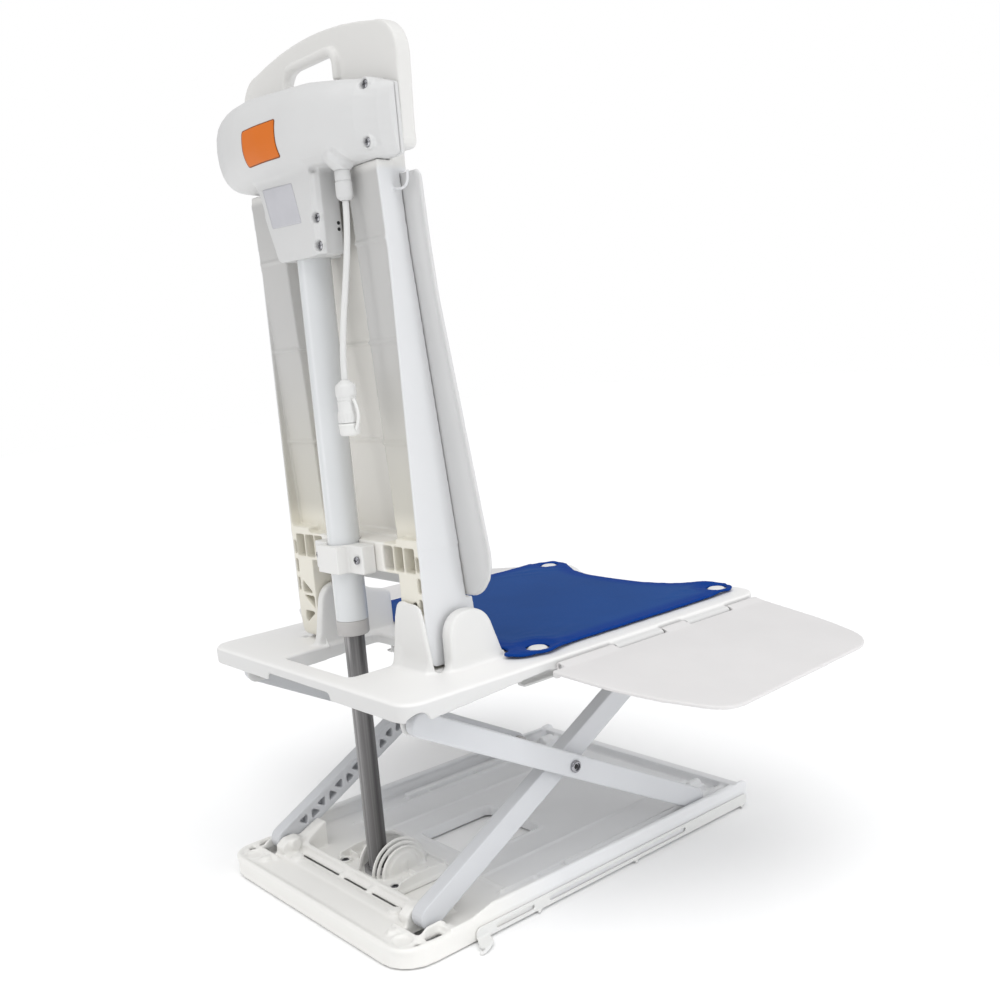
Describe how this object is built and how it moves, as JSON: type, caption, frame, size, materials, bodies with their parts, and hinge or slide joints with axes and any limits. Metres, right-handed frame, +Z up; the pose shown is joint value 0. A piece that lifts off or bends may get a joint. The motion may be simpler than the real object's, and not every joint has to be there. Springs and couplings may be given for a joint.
{
  "type": "bath lift chair",
  "caption": "Powered bath lift chair: a seat with a tall backrest and folding side flaps on a scissor frame, raised by a screw actuator clamped to the back.",
  "frame": {"origin": "on the floor, under the middle of the chair's outline", "axes": "+Z up, -Y the way the sitter faces, +X the sitter's left"},
  "size_m": [0.7794, 0.552, 0.9205],
  "materials": {
    "white_shell": "satin moulded",
    "arm_white": "satin moulded",
    "tube_white": "gloss white paint",
    "grey_plastic": "satin",
    "blue_cover": "soft matt sheet",
    "white_rubber": "soft matt",
    "stainless": "ground",
    "bronze": "machined",
    "motor_case": "satin",
    "zinc_screw": "zinc plated",
    "white_cable": "smooth sheath"
  },
  "bodies": {
    "base": {"base_pivot_pin_left": "zinc_screw", "base_pivot_pin_right": "zinc_screw", "base_tray": "white_shell", "foot_bracket": "white_shell", "foot_nut": "zinc_screw", "foot_screw_1": "zinc_screw", "foot_screw_2": "zinc_screw", "foot_screw_3": "zinc_screw", "foot_screw_4": "zinc_screw", "lift_rod": "stainless", "release_strip_left": "white_rubber", "release_strip_right": "white_rubber", "spindle_nut": "bronze", "suction_cup_1": "white_rubber", "suction_cup_2": "white_rubber", "suction_cup_3": "white_rubber", "suction_cup_4": "white_rubber"},
    "inner_arms": {"inner_arm_left": "arm_white", "inner_arm_right": "arm_white", "upper_glide_left": "grey_plastic", "upper_glide_right": "grey_plastic"},
    "outer_arms": {"lower_glide_left": "grey_plastic", "lower_glide_right": "grey_plastic", "mid_pivot_bolt_left": "zinc_screw", "mid_pivot_bolt_right": "zinc_screw", "outer_arm_left": "arm_white", "outer_arm_right": "arm_white"},
    "seat": {"actuator_tube": "tube_white", "backrest_frame": "white_shell", "backrest_panel": "white_shell", "backrest_pin_left": "stainless", "backrest_pin_right": "stainless", "cable_gland": "white_shell", "clamp_cap": "white_shell", "clamp_screw_left": "zinc_screw", "clamp_screw_right": "zinc_screw", "connector": "white_shell", "connector_cap": "white_rubber", "cord": "white_cable", "deck_pivot_pin_left": "zinc_screw", "deck_pivot_pin_right": "zinc_screw", "drive_motor": "motor_case", "flap_rod_left": "stainless", "flap_rod_right": "stainless", "housing_front": "white_shell", "housing_rear": "white_shell", "housing_screw_1": "zinc_screw", "housing_screw_2": "zinc_screw", "housing_screw_3": "zinc_screw", "housing_screw_4": "zinc_screw", "seat_cover": "blue_cover", "seat_deck": "white_shell", "tube_wiper": "grey_plastic"},
    "flap_left": {"flap_left": "white_shell"},
    "flap_right": {"flap_right": "white_shell"},
    "spindle": {"drive_gear": "bronze", "spindle": "stainless"},
    "worm": {"worm_shaft": "stainless"}
  },
  "joints": [
    {"name": "lift", "type": "hinge", "parent": "base", "child": "inner_arms", "pos_m": [0, 0.219, 0.03], "axis": [-1, 0, 0], "range_deg": [-24.4, 32]},
    {"name": "cross", "type": "hinge", "parent": "inner_arms", "child": "outer_arms", "pos_m": [0, 0.02555, 0.13212], "axis": [-1, 0, 0], "range_deg": [-64.5, 49.5]},
    {"name": "seat_level", "type": "hinge", "parent": "outer_arms", "child": "seat", "pos_m": [0, 0.219, 0.23425], "axis": [-1, 0, 0], "range_deg": [-25, 32.5]},
    {"name": "flap_left_hinge", "type": "hinge", "parent": "seat", "child": "flap_left", "pos_m": [0.205, 0.012, 0.2595], "axis": [0, -1, 0], "range_deg": [0, 97]},
    {"name": "flap_right_hinge", "type": "hinge", "parent": "seat", "child": "flap_right", "pos_m": [-0.205, 0.012, 0.2595], "axis": [0, 1, 0], "range_deg": [0, 97]},
    {"name": "spindle_turn", "type": "hinge", "parent": "seat", "child": "spindle", "pos_m": [0, 0.18, 0.812], "axis": [0, 0, 1], "continuous": true},
    {"name": "worm_turn", "type": "hinge", "parent": "seat", "child": "worm", "pos_m": [0, 0.1966, 0.812], "axis": [1, 0, 0], "continuous": true}
  ],
  "couplings": [
    {"joint": "cross", "follows": "lift", "ratio": -2},
    {"joint": "seat_level", "follows": "lift", "ratio": 1},
    {"joint": "spindle_turn", "follows": "worm_turn", "ratio": 0.05}
  ]
}
